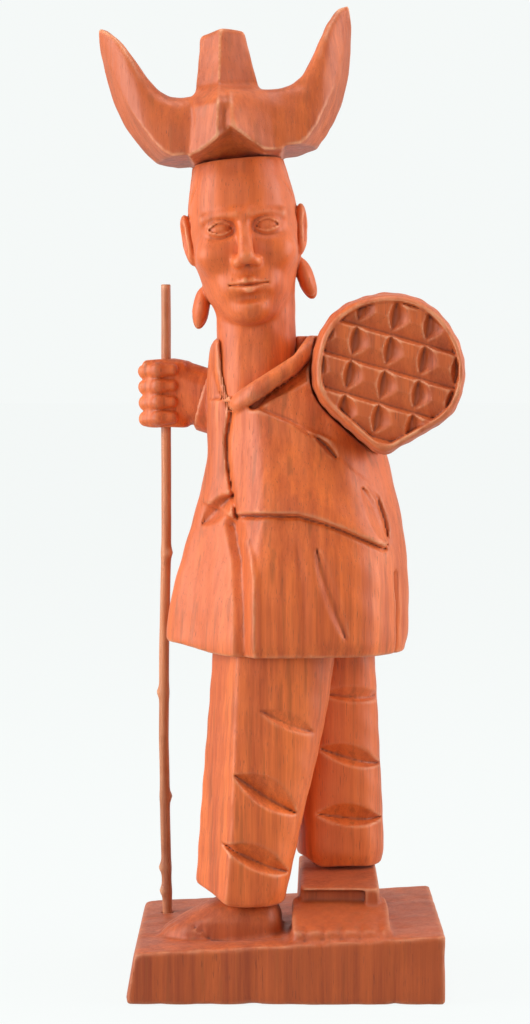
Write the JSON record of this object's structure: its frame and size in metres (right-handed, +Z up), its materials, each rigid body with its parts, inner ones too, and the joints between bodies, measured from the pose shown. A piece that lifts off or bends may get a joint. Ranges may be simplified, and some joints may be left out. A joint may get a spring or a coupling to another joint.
{
  "type": "carved wooden figure",
  "caption": "Carved wooden standing figure with a wide horned hat, a round basket and a loose walking staff on a hewn plinth.",
  "frame": {"origin": "middle of the plinth's underside, on the surface that the figure stands on", "axes": "+Z up the figure, -Y the way its face and front look, +X towards the side with the basket"},
  "size_m": [0.1804, 0.118, 0.486],
  "materials": {
    "carved_wood": "hand carved reddish wood, waxed",
    "plinth_wood": "hewn reddish wood, waxed, darker",
    "basket_wood": "chip carved reddish wood",
    "staff_wood": "peeled stick, stained",
    "peg_wood": "plain turned dowel"
  },
  "bodies": {
    "figure": {"plinth": "plinth_wood", "right_leg": "carved_wood", "left_leg": "carved_wood", "tunic": "carved_wood", "head": "carved_wood", "hat": "carved_wood", "right_forearm": "carved_wood", "basket": "basket_wood", "hat_peg": "peg_wood", "neck_peg": "peg_wood", "forearm_peg": "peg_wood", "basket_pegs": "peg_wood", "hip_pegs": "peg_wood", "ankle_pegs": "peg_wood"},
    "staff": {"staff": "staff_wood"}
  },
  "joints": [
    {"name": "staff_lift", "type": "slide", "parent": "figure", "child": "staff", "axis": [0, 0, 1], "range_m": [0, 0.055]}
  ]
}
